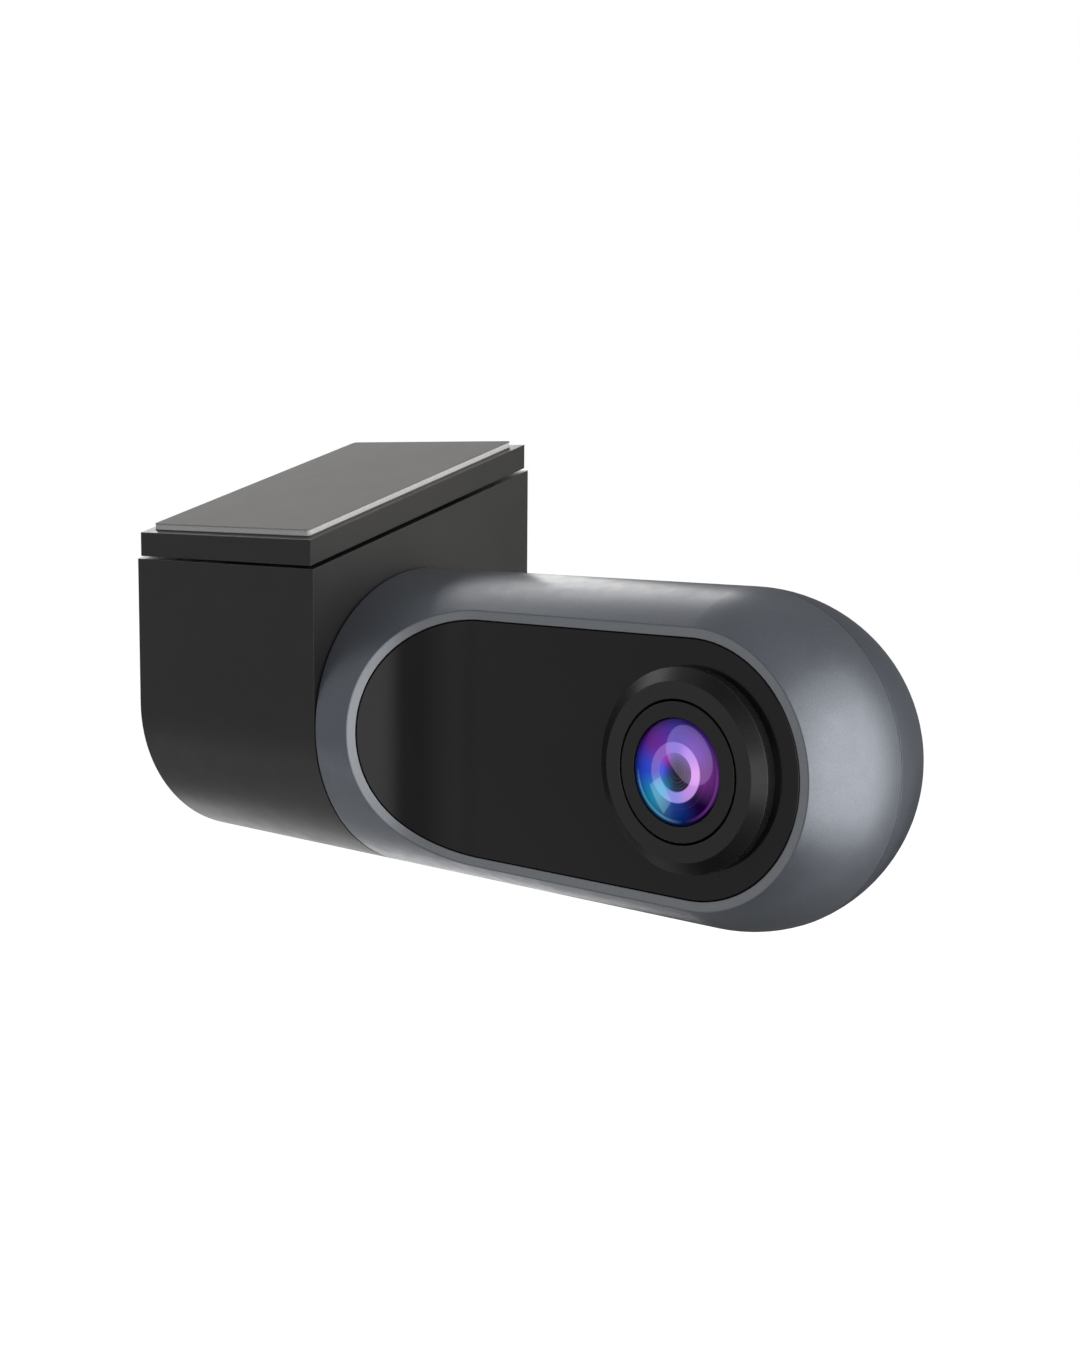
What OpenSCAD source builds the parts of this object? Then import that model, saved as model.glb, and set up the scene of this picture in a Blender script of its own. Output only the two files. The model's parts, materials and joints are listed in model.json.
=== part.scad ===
// Dash camera: a cylindrical camera pod that pitches on a hollow hinge, carried
// by a bracket block that hooks onto a plate stuck to the inside of a windscreen.
// Millimetres, +Z up, lens looks along -Y, pod runs along +X from the bracket.
// The origin is the middle of the adhesive face, the face that meets the glass.
// Inside place() the zero is the pod's axis at the bracket's face.

/* [Camera pod] */
// Diameter of the pod
pod_d = 34; // [28:0.5:44]
// Distance from the bracket face to the middle of the domed end
pod_len = 46.05; // [40:0.05:60]
// Wall of the two pod shells
wall = 0.8; // [0.8:0.1:1.6]
// How far the flat front panel sits in front of the pod axis
panel_y = 10.2; // [9:0.1:12]
// Radius of the hollow sweep at the bracket end of the panel
sweep_r = 16.15; // [12:0.05:20]
// Where the sweep ends and the flat panel starts
sweep_x = 18.36; // [14:0.02:24]
// Thickness of the front panel
panel_t = 1.2; // [0.8:0.1:2]
// Width of the open line at the seams
seam = 0.12; // [0.08:0.02:0.3]
// How far the rear shell's axis sits in front of the pod axis, which leaves a faint crest
crest = 0.85; // [0.4:0.05:1.2]

/* [Lens] */
// Diameter of the lens head
lens_head_d = 13.4; // [12:0.1:15]
// Diameter of the front glass
glass_d = 10.3; // [8:0.1:11]
// Diameter of the raised bezel at its foot
bezel_d = 19.8; // [18:0.1:24]
// Height of the bezel above the panel
bezel_h = 1.9; // [1:0.1:3]

/* [Bracket] */
// Width of the bracket block
bracket_w = 31.8; // [28:0.1:40]
// Height of the block's slanted top above the pod axis, at the middle
top_z = 22.72; // [20:0.02:28]
// Slant of the top, to lie along the windscreen
slant = 17.6; // [10:0.1:35]
// Wall of the bracket block
block_wall = 1.8; // [1.5:0.1:3]
// Upright gap between the block and the mount plate
plate_gap = 0.3; // [0.3:0.05:0.8]
// Upright thickness of the mount plate
plate_t = 2.8; // [2:0.1:4]
// Upright thickness of the adhesive pad
pad_t = 0.75; // [0.6:0.05:1.5]
// Travel of the quick-release slide
slide_travel = 6; // [5:0.5:8]

/* [Hinge] */
// Diameter of the hollow hinge shaft
shaft_d = 10; // [8:0.1:12]
// Tilt of the pod either way from level
tilt = 60; // [30:1:75]
// Radius of the ring of three hinge screws
hinge_screw_r = 7; // [6.8:0.1:7.2]

/* [Controls] */
// Diameter of the record button
record_d = 9; // [7:0.5:10]
// Diameter of the mode button
mode_d = 6.6; // [5:0.2:8]
// Diameter of the button stems
stem_d = 2.4; // [2:0.2:3]
// Travel of the buttons
press = 0.5; // [0.3:0.1:0.8]

/* [Hidden] */
$fn = 96;
// How far a cut runs past the face that it opens
past = 1;

// Pod shells
R = pod_d / 2;
Ri = R - wall;
Rr = sqrt(R * R + crest * crest);
Rri = Rr - wall;
rear_y = Rr - crest;
shell_x = 0.25;
sweep_y = -panel_y - sweep_r + 0.01;
lens_x = pod_len;
face_y = panel_y + bezel_h;
shell_screw_x = [7, pod_len + 3];
shell_screw_z = 12.2;
shell_screw_r = 1;

// Main board, which stands upright across the pod
board_y = 6;
board_t = 1.2;
board_back = board_y + board_t;
board_x = [5, pod_len + 8.5];
board_half = 9.2;
post_x = [8.9, pod_len + 5];
post_z = 7;
post_screw_r = 0.85;

// What shows on the back and underside of the pod
record_x = 12.5;
mode_x = 24.5;
light_x = 19.1;
light_r = 0.75;
reset_x = 28.5;
reset_z = 6;
mic_x = 34;
mic_z = 6.8;
speaker_x = 42;
speaker_z = 2;
speaker_r = 7;
card_x = 37;
card_y = 8.05;
card_w = 11;
card_t = 0.7;
key_gap = 0.3;
key_inner_y = 14;

// Lens stack, from the glass back to the sensor
seat_r = glass_d / 2 + 0.03;
ring_t = 1.2;
barrel_r = 6;
holder_y = [0, 2];
ear_z = 8.1;
sensor_half = 4.6;

// Bracket block and mount plate
block_r = pod_d / 2;
end_x = -bracket_w;
rise = plate_gap + plate_t + pad_t;
plate_in = 0.5;
pad_in = 1.8;
boss_r = 8.2;
bush_r = 6.6;
hook_x = [-22, -7];
hook_u = 10;
hook_w = 3;
head_w = 6;
hook_fit = 0.3;
cap_t = 2;
cap_screw_r = 0.85;
cap_pts = [[-12.9, 12.6], [12.9, 12.6], [-9.5, -8.7], [9.5, -8.7]];

// Power inlet and its board
power_z = 2;
inlet_z = 5;
inlet_half = [4.5, 1.6];
inlet_wall = 0.3;

// Placing and plain shapes

module place() {
    translate([bracket_w / 2, 0, -top_z - rise]) children();
}

// On the block's slanted top, h above it
module on_slope(h = 0) {
    translate([0, 0, top_z]) rotate([slant, 0, 0]) translate([0, 0, h]) children();
}

// Three places round the hinge
module round_hinge() {
    for (i = [0:2]) rotate([120 * i + 60, 0, 0]) translate([0, 0, hinge_screw_r]) children();
}

// A rod along Y from y0 to y1
module rod_y(x, z, r, y0, y1) {
    translate([x, y1, z]) rotate([90, 0, 0]) cylinder(r = r, h = y1 - y0);
}

// A rod along X from x0 to x1
module rod_x(r, x0, x1, y = 0, z = 0) {
    translate([x0, y, z]) rotate([0, 90, 0]) cylinder(r = r, h = x1 - x0);
}

// A box from one corner to the other
module block_of(a, b) {
    translate(a) cube(b - a);
}

// A solid turned about the lens axis; rings of [radius, y]
module turned_y(pts) {
    translate([lens_x, 0, 0]) rotate([90, 0, 0])
        rotate_extrude() polygon([for (p = pts) [p[0], -p[1]]]);
}

// A cross for a screwdriver, of width w, cut along X or along Y round a screw's axis
module cross_x(x0, x1, y, z, w) {
    block_of([x0, y - w, z - 0.2], [x1, y + w, z + 0.2]);
    block_of([x0, y - 0.2, z - w], [x1, y + 0.2, z + w]);
}

module cross_y(y0, y1, x, z, w) {
    block_of([x - w, y0, z - 0.2], [x + w, y1, z + 0.2]);
    block_of([x - 0.2, y0, z - w], [x + 0.2, y1, z + w]);
}

// Pod shells

// Round-ended rod of radius r from x0 to the dome, with its axis moved by dy
module capsule(r, x0, dy = 0) {
    translate([x0, dy, 0]) rotate([0, 90, 0]) rotate_extrude() intersection() {
        union() {
            translate([0, pod_len - x0]) circle(r = r);
            square([r, pod_len - x0]);
        }
        square([r + past, pod_len - x0 + r + past]);
    }
}

// Everything in front of the swept face of the panel, moved back by d
module front_cut(d = 0) {
    translate([sweep_x, sweep_y, -R - past]) cylinder(r = sweep_r + d, h = 2 * (R + past));
    block_of([sweep_x, -R - 12, -R - past], [pod_len + R + 4, -panel_y + d, R + past]);
}

// The half space in front of the seam (s = -1) or behind it (s = 1)
module half_pod(s) {
    y = [min(s * seam / 2, s * (R + 3)), max(s * seam / 2, s * (R + 3))];
    block_of([-past, y[0], -R - 3], [pod_len + R + 3, y[1], R + 3]);
}

module at_shell_screws() {
    for (x = shell_screw_x, s = [-1, 1]) translate([x, 0, s * shell_screw_z]) children();
}

module at_posts() {
    for (x = post_x, s = [-1, 1]) translate([x, 0, s * post_z]) children();
}

module front_shell() place() color("slategray") difference() {
    union() {
        intersection() {
            difference() {
                capsule(R, shell_x);
                capsule(Ri, -past);
                front_cut();
            }
            half_pod(-1);
        }
        intersection() {
            at_shell_screws() rod_y(0, 0, 2.6, -8.7, -seam / 2);
            capsule(R - wall / 2, shell_x);
        }
    }
    at_shell_screws() rod_y(0, 0, shell_screw_r + 0.05, -6, past);
}

module rear_shell() place() color("dimgray") difference() {
    union() {
        intersection() {
            difference() {
                capsule(Rr, shell_x, -crest);
                capsule(Rri, -past, -crest);
            }
            half_pod(1);
        }
        intersection() {
            union() {
                at_shell_screws() rod_y(0, 0, 2.9, seam / 2, 15);
                at_posts() rod_y(0, 0, 2.1, board_back, 16);
            }
            capsule(Rr - wall / 2, shell_x, -crest);
        }
    }
    at_shell_screws() rod_y(0, 0, shell_screw_r + 0.2, -past, 9);
    at_shell_screws() rod_y(0, 0, 2.1, 7, R + past);
    at_posts() rod_y(0, 0, post_screw_r, board_back - past, 11.5);
    back_openings();
}

// Holes through the rear shell for the keys, the light, the sound and the memory card
module back_openings() {
    y0 = 10;
    y1 = R + past;
    rod_y(record_x, 0, record_d / 2 + key_gap, y0, y1);
    rod_y(mode_x, 0, mode_d / 2 + key_gap, y0, y1);
    rod_y(light_x, 0, light_r + 0.1, y0, y1);
    rod_y(reset_x, reset_z, 0.6, y0, y1);
    rod_y(mic_x, mic_z, 0.5, y0, y1);
    rod_y(speaker_x, speaker_z, 0.7, y0, y1);
    for (a = [0:60:300]) rod_y(speaker_x + 3 * cos(a), speaker_z + 3 * sin(a), 0.7, y0, y1);
    slot_half = card_w / 2 + 0.5;
    block_of([card_x - slot_half, card_y - 0.95, -R - past], [card_x + slot_half, card_y + 1.15, -12]);
}

module front_panel() place() color("black") difference() {
    intersection() {
        capsule(Ri - seam, 2);
        difference() {
            front_cut(panel_t);
            front_cut();
        }
    }
    rod_y(lens_x, 0, 8.45, -14, -6);
}

// Plate that closes the bracket end of the pod; it takes the hinge flange
module end_plate() place() color("dimgray") difference() {
    union() {
        intersection() {
            rod_x(Ri - seam, 0.3, 2.3);
            rod_x(Rri - seam, 0.3, 2.3, -crest);
        }
        rod_x(1.2, -1.5, 1, 0, 10.6);
    }
    rod_x(shaft_d / 2 + 0.02, -2, 4);
    round_hinge() rod_x(0.85, -past, 4);
}

// Hinge

module hinge_shaft() place() color("silver") difference() {
    union() {
        rod_x(shaft_d / 2, -9.4, 2.4);
        rod_x(9, 2.3, 3.5);
    }
    rod_x(shaft_d / 2 - 1.6, -10, 4);
    round_hinge() rod_x(1.15, 2, 4);
    difference() {
        rod_x(shaft_d / 2 + 1, -8.3, -7.4);
        rod_x(shaft_d / 2 - 0.6, -8.4, -7.3);
    }
}

module hinge_screws() place() color("silver") round_hinge() difference() {
    union() {
        rod_x(0.85, 0.8, 3.6);
        rod_x(1.6, 3.5, 4.5);
    }
    cross_x(4, 5, 0, 0, 1);
}

module hinge_bush() place() color("ivory") difference() {
    union() {
        rod_x(bush_r, -5, -0.2);
        rod_x(bush_r + 1.4, -5.6, -5);
    }
    rod_x(shaft_d / 2 + 0.06, -6, past);
}

module friction_washer() place() color("ivory") difference() {
    rod_x(7.6, -6.2, -5.75);
    rod_x(shaft_d / 2 + 0.05, -7, -5);
}

// Dished spring washer
module spring_washer() place() color("silver") translate([-7.35, 0, 0]) rotate([0, 90, 0])
    rotate_extrude() polygon([[5.1, 0], [5.1, 0.4], [7.2, 1.1], [7.2, 0.7]]);

module hinge_clip() place() color("silver") difference() {
    rod_x(6.6, -8.25, -7.45);
    rod_x(shaft_d / 2 - 0.55, -9, -6);
    block_of([-9, -2.6, -8], [-6, 2.6, 0]);
}

// Bracket

// U-shaped outline of the block in (y, z), made smaller by i
module outline(i = 0) {
    h = top_z - i / cos(slant);
    b = block_r - i;
    difference() {
        circle(r = b);
        translate([-b - past, 0]) square([2 * (b + past), b + past]);
    }
    polygon([[-b, 0], [b, 0], [b, h + b * tan(slant)], [-b, h - b * tan(slant)]]);
}

module bar(i, x0, x1) {
    translate([x0, 0, 0]) rotate([90, 0, 90]) linear_extrude(height = x1 - x0) outline(i);
}

module bracket_block() place() color("black") difference() {
    union() {
        difference() {
            bar(0, end_x, 0);
            bar(block_wall, end_x - past, -2.4);
        }
        rod_x(boss_r, -4.9, -1);
        intersection() {
            for (p = cap_pts) rod_x(2.5, end_x + cap_t + 0.2, -22, p[0], p[1]);
            bar(0.5, end_x, -1);
        }
        for (s = [-1, 1]) block_of([-27, s * 12.3 - 3.1, 0.6], [-13, s * 12.3 + 3.1, power_z]);
    }
    rod_x(bush_r + 0.02, -6, past);
    for (p = cap_pts) rod_x(cap_screw_r, end_x - past, -23, p[0], p[1]);
    stop_groove();
    for (x = hook_x, u = [-hook_u, hook_u]) on_slope(-4) keyhole(x, u);
}

// Groove in the block's face in which the pod's stop pin runs
module stop_groove() {
    spare = 8.4;
    rotate([90 - tilt - spare, 0, 0]) rotate([0, 90, 0]) translate([0, 0, -1.9]) rotate([0, 0, 90])
        rotate_extrude(angle = 2 * (tilt + spare)) translate([9, 0]) square([3.2, 3]);
}

// Narrow slot for a hook's neck, with a wide end that lets its head through
module keyhole(x, u) {
    neck = hook_w / 2 + hook_fit;
    head = head_w / 2 + 0.4;
    translate([x - slide_travel, u - neck, 0]) cube([slide_travel + neck, 2 * neck, 6]);
    translate([x - slide_travel - neck - 0.1, u - head, 0]) cube([2 * neck + 0.2, 2 * head, 6]);
}

module end_cap() place() color("black") difference() {
    bar(block_wall + 0.1, end_x, end_x + cap_t);
    block_of([end_x - past, -4.75, inlet_z - 1.85], [end_x + cap_t + past, 4.75, inlet_z + 1.85]);
    for (p = cap_pts) {
        rod_x(cap_screw_r + 0.3, end_x - past, end_x + cap_t + past, p[0], p[1]);
        rod_x(1.95, end_x - past, end_x + 1.1, p[0], p[1]);
    }
}

module cap_screws() place() color("silver") for (p = cap_pts) difference() {
    union() {
        rod_x(cap_screw_r, end_x + 1, -24.5, p[0], p[1]);
        rod_x(1.8, end_x + 0.1, end_x + 1.1, p[0], p[1]);
    }
    cross_x(end_x - past, end_x + 0.6, p[0], p[1], 1.1);
}

// Slab that follows the slanted top, from height h0 to h1 above it
module slab(x_in, y_in, h0, h1) {
    b = block_r - y_in;
    t = b * tan(slant);
    translate([end_x + x_in, 0, top_z]) rotate([90, 0, 90]) linear_extrude(height = bracket_w - 2 * x_in)
        polygon([[-b, h0 - t], [b, h0 + t], [b, h1 + t], [-b, h1 - t]]);
}

module mount_plate() place() color("black") {
    slab(plate_in, 0.1, plate_gap, plate_gap + plate_t);
    for (x = hook_x, u = [-hook_u, hook_u]) on_slope() translate([x - hook_w / 2, u, 0]) {
        translate([0, -hook_w / 2, -2.7]) cube([hook_w, hook_w, 3.4]);
        translate([0, -head_w / 2, -4]) cube([hook_w, head_w, 1.3]);
    }
}

module adhesive_pad() place() color("dimgray") slab(pad_in, 1, plate_gap + plate_t, rise);

// Power inlet

module power_board() place() color("darkgreen")
    block_of([-29.4, -10.2, power_z], [-12.5, 10.2, power_z + board_t]);

module inlet_box(x0, x1, inset = 0) {
    y = inlet_half[0] - inset;
    z = inlet_half[1] - inset;
    block_of([x0, -y, inlet_z - z], [x1, y, inlet_z + z]);
}

module power_inlet() place() color("silver") difference() {
    inlet_box(end_x + 0.3, -24.4);
    inlet_box(end_x - past, -25, inlet_wall);
}

module inlet_tongue() place() color("black")
    block_of([end_x + 1.1, -3.2, inlet_z - 0.35], [-25, 3.2, inlet_z + 0.35]);

// Two rows of twelve contacts, half a millimetre apart
module inlet_contacts() place() color("gold") for (i = [-5.5:5.5], s = [-1, 1])
    translate([end_x + 1.6, i * 0.5 - 0.12, inlet_z + s * 0.4 - 0.05])
        cube([bracket_w - 28.6, 0.24, 0.1]);

// Two chips and a can standing on the power board
module power_parts() place() color("dimgray") {
    top = power_z + board_t;
    block_of([-23.4, -9.4, top], [-18.6, -4.6, top + 3]);
    block_of([-22, -2.4, top], [-17.2, 2.4, top + 1.1]);
    translate([-20, 7, top]) cylinder(r = 2.5, h = 5.2);
}

// Four leads through the hinge, with their plug on the power board
module power_lead() place() color("firebrick") {
    for (a = [45:90:315]) rod_x(0.55, -15, 6, 0.8 * cos(a), 0.8 * sin(a));
    block_of([-16.8, -2.2, power_z + board_t], [-13.4, 2.2, power_z + 3.6]);
    for (s = [-1, 1]) block_of([-15.6, s * 0.6 - 0.3, -0.3], [-14.4, s * 0.6 + 0.3, power_z]);
}

// Lens

module lens_bezel() place() color("black") turned_y([
    [lens_head_d / 2 + 0.25, -face_y], [8.6, -face_y], [bezel_d / 2, -face_y + 0.8],
    [bezel_d / 2, -panel_y], [8.4, -panel_y], [8.4, -7.6], [lens_head_d / 2 + 0.25, -7.6]]);

module lens_ring() place() color("black") turned_y([
    [seat_r, -face_y], [lens_head_d / 2, -face_y],
    [lens_head_d / 2, -face_y + ring_t], [seat_r, -face_y + ring_t]]);

module lens_barrel() place() color("black") difference() {
    turned_y([[0, -face_y + ring_t], [lens_head_d / 2, -face_y + ring_t],
        [lens_head_d / 2, -8.4], [barrel_r, -8.4], [barrel_r, -0.4], [0, -0.4]]);
    rod_y(lens_x, 0, seat_r, -14, -9.9);
    rod_y(lens_x, 0, 4.3, -10, -6);
    rod_y(lens_x, 0, 3.7, -7, 0);
    for (y = [-7.6:1:-1.6]) difference() {
        rod_y(lens_x, 0, barrel_r + 0.5, y - 0.3, y);
        rod_y(lens_x, 0, barrel_r - 0.25, y - past, y + past);
    }
}

// A lens of radius r between y0 and y1, whose front is a dome of radius dome_r
module domed_lens(r, dome_r, apex_y, y0, y1) {
    intersection() {
        translate([lens_x, apex_y + dome_r, 0]) sphere(r = dome_r);
        rod_y(lens_x, 0, r, y0, y1);
    }
}

module front_glass() place() color("indigo") domed_lens(glass_d / 2, 12.5, -face_y - 1, -15, -10);

module iris_ring() place() color("black") turned_y([
    [1.7, -9.4], [4.2, -8.6], [4.2, -8.2], [1.7, -8.2]]);

module second_glass() place() color("purple") domed_lens(4.2, 5.6, -7.8, -8.1, -6.1);

module lens_spacer() place() color("black") turned_y([
    [2.8, -5.9], [3.65, -5.9], [3.65, -3.6], [2.8, -3.6]]);

module rear_glass() place() color("teal") intersection() {
    translate([lens_x, -7, 0]) sphere(r = 5.6);
    rod_y(lens_x, 0, 3.65, -3.5, -0.5);
}

module lens_holder() place() color("black") difference() {
    union() {
        rod_y(lens_x, 0, 7.4, -5.5, 0.2);
        block_of([lens_x - 7.5, holder_y[0], -7.5], [lens_x + 7.5, holder_y[1], 7.5]);
        for (s = [-1, 1])
            block_of([lens_x - 2, 0.8, s * ear_z - 1.2], [lens_x + 2, holder_y[1], s * ear_z + 1.2]);
    }
    rod_y(lens_x, 0, barrel_r + 0.05, -6, 0.3);
    block_of([lens_x - 5.2, 0.2, -5.2], [lens_x + 5.2, 3, 5.2]);
}

module ir_filter() place() color("lightcyan") block_of([lens_x - 5, 0.25, -5], [lens_x + 5, 0.65, 5]);

module image_sensor() place() color("darkslategray") {
    block_of([lens_x - sensor_half, 1.2, -sensor_half], [lens_x + sensor_half, holder_y[1], sensor_half]);
    block_of([lens_x - 3.2, 1, -2], [lens_x + 3.2, 1.2, 2]);
}

module sensor_board() place() color("darkgreen") difference() {
    block_of([lens_x - 10, holder_y[1], -9.15], [lens_x + 9, holder_y[1] + 1, 9.15]);
    for (s = [-1, 1]) rod_y(lens_x, s * ear_z, 0.7, 1, 4);
}

module board_link() place() color("ivory")
    block_of([lens_x - 5, holder_y[1] + 1, -2], [lens_x + 5, board_y, 2]);

// Main electronics

module main_board() place() color("darkgreen") difference() {
    block_of([board_x[0], board_y, -board_half], [board_x[1], board_back, board_half]);
    at_posts() rod_y(0, 0, post_screw_r + 0.15, board_y - past, board_back + past);
}

module board_screws() place() color("silver") at_posts() difference() {
    union() {
        rod_y(0, 0, post_screw_r, board_y - 0.1, 11);
        rod_y(0, 0, 1.6, board_y - 1.1, board_y);
    }
    cross_y(board_y - 2, board_y - 0.6, 0, 0, 1);
}

module shell_screws() place() color("silver") at_shell_screws() difference() {
    union() {
        rod_y(0, 0, shell_screw_r, -5.5, 7.1);
        rod_y(0, 0, 1.8, 7, 8.3);
    }
    cross_y(7.7, 9, 0, 0, 1.1);
}

module processor() place() color("black") block_of([16, board_y - 1.1, -6], [28, board_y, 6]);

module memory_chips() place() color("black") for (s = [-1, 1])
    translate([30.2, board_y - 1, s * 5.6 - 3.6]) cube([6, 1, 7.2]);

module heat_plate() place() color("silver")
    block_of([13, board_y - 2.3, -8], [29.5, board_y - 1.1, 8]);

module capacitors() place() color("midnightblue") for (s = [-1, 1]) rod_x(4, 8, 28, -3.4, s * 4.4);

module speaker() place() color("black") difference() {
    rod_y(speaker_x, speaker_z, speaker_r, 9.5, 12);
    rod_y(speaker_x, speaker_z, speaker_r - 1.2, 11.6, 13);
}

module microphone() place() color("goldenrod") rod_y(mic_x, mic_z, 2, board_back, board_back + 1.6);

module reset_switch() place() color("dimgray") {
    block_of([reset_x - 1.6, board_back, reset_z - 1.6], [reset_x + 1.6, board_back + 1.4, reset_z + 1.6]);
    rod_y(reset_x, reset_z, 0.7, board_back + 1, board_back + 2);
}

module button_switches() place() color("dimgray") for (x = [record_x, mode_x]) {
    block_of([x - 3, board_back, -3], [x + 3, board_back + 2.2, 3]);
    rod_y(x, 0, 1.5, board_back + 2, board_back + 2.8);
}

module status_light() place() color("deepskyblue") {
    rod_y(light_x, 0, light_r, board_back + 1, rear_y + 0.1);
    block_of([light_x - 0.8, board_back, -0.8], [light_x + 0.8, board_back + 1, 0.8]);
}

// A key of diameter d: its face stands out of the shell and its flange keeps it in
module button_cap(x, d) {
    rod_y(x, 0, d / 2, key_inner_y, rear_y + 0.7);
    intersection() {
        rod_y(x, 0, d / 2 + 0.7, key_inner_y - 0.8, key_inner_y);
        capsule(Rri - 0.75, 0, -crest);
    }
    rod_y(x, 0, stem_d / 2, board_back + 2.8 + press + 0.35, key_inner_y - 0.7);
}

module record_button() place() color("darkgray") button_cap(record_x, record_d);

module mode_button() place() color("darkgray") button_cap(mode_x, mode_d);

module card_socket() place() color("silver") difference() {
    block_of([card_x - 7, board_back, -12.2], [card_x + 7, board_back + 1.9, 1.6]);
    block_of([card_x - 5.9, card_y - 0.75, -13], [card_x + 5.9, card_y + 0.75, 0.8]);
}

module memory_card() place() color("black") difference() {
    low = -14.2;
    x0 = card_x - card_w / 2;
    x1 = x0 + card_w;
    union() {
        block_of([x0, card_y - card_t / 2, low], [x1, card_y + card_t / 2, 0.3]);
        block_of([x0, card_y, low], [x1, card_y + 0.6, low + 1.3]);
    }
    block_of([card_x + 4.3, 6, -6.5], [card_x + 6, 10, 1]);
}

module antenna() place() color("goldenrod") block_of([33, -8.4, 9.4], [45, -8.2, 11.4]);

adhesive_pad();
mount_plate();
bracket_block();
end_cap();
cap_screws();
hinge_bush();
power_board();
power_inlet();
inlet_tongue();
inlet_contacts();
power_parts();
power_lead();
front_shell();
rear_shell();
front_panel();
end_plate();
hinge_shaft();
hinge_screws();
friction_washer();
spring_washer();
hinge_clip();
lens_bezel();
lens_ring();
lens_barrel();
front_glass();
iris_ring();
second_glass();
lens_spacer();
rear_glass();
lens_holder();
ir_filter();
image_sensor();
sensor_board();
board_link();
main_board();
board_screws();
shell_screws();
processor();
memory_chips();
heat_plate();
capacitors();
speaker();
microphone();
reset_switch();
button_switches();
status_light();
record_button();
mode_button();
card_socket();
memory_card();
antenna();
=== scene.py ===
# Looks, light and camera for the dash camera. Metres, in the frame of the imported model:
# +Z up, the lens looks along -Y, the pod runs along +X from its bracket.
import json
import math

import bmesh
import bpy
from mathutils import Matrix, Vector


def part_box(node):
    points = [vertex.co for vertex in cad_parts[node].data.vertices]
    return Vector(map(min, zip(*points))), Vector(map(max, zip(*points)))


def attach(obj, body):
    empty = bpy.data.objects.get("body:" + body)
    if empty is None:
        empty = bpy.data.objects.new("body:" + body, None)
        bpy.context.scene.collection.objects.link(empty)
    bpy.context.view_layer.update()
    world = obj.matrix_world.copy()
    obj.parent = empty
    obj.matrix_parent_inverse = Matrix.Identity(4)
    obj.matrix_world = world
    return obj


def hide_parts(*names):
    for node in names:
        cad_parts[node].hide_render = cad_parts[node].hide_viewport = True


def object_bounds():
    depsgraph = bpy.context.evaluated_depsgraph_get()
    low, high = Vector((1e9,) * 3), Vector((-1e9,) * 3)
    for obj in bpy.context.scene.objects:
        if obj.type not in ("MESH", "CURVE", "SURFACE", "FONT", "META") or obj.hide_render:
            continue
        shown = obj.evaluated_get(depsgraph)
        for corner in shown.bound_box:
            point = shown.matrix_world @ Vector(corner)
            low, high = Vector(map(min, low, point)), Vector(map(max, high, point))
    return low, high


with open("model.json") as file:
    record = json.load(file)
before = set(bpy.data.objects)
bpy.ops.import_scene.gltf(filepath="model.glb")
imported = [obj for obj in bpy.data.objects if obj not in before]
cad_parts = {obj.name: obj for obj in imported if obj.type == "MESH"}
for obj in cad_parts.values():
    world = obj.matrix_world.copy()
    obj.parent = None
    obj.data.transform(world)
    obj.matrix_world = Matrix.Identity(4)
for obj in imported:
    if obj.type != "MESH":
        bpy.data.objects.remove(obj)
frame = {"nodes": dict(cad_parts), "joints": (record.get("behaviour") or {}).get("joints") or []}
CAD_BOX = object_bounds()
NODES = frame["nodes"]
JOINTS = {j["name"]: j for j in frame["joints"]}
MM = 0.001

# Places that come from the frame
POD_AXIS = Vector(JOINTS["pod_tilt"]["pos_m"])
POD_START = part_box("front_shell")[0].x
POD_R = (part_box("front_shell")[1].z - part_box("front_shell")[0].z) / 2
DOME = (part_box("front_shell")[1].x - POD_R, POD_AXIS.y, POD_AXIS.z)
GLASS_LOW, GLASS_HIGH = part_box("front_glass")
LENS_X = (GLASS_LOW.x + GLASS_HIGH.x) / 2
LENS_Z = (GLASS_LOW.z + GLASS_HIGH.z) / 2
GLASS_R = (GLASS_HIGH.x - GLASS_LOW.x) / 2
RING_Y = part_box("lens_ring")[0].y
PAD_LOW, PAD_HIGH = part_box("adhesive_pad")
PAD_RISE = PAD_HIGH.z / PAD_HIGH.y
PAD_THICK = -PAD_LOW.z - PAD_HIGH.z
PAD_UP = Vector((0.0, -PAD_RISE, 1.0)).normalized()

# Radius of the bend of the front glass
GLASS_BEND = 12.5 * MM


# Node graph helpers

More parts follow.
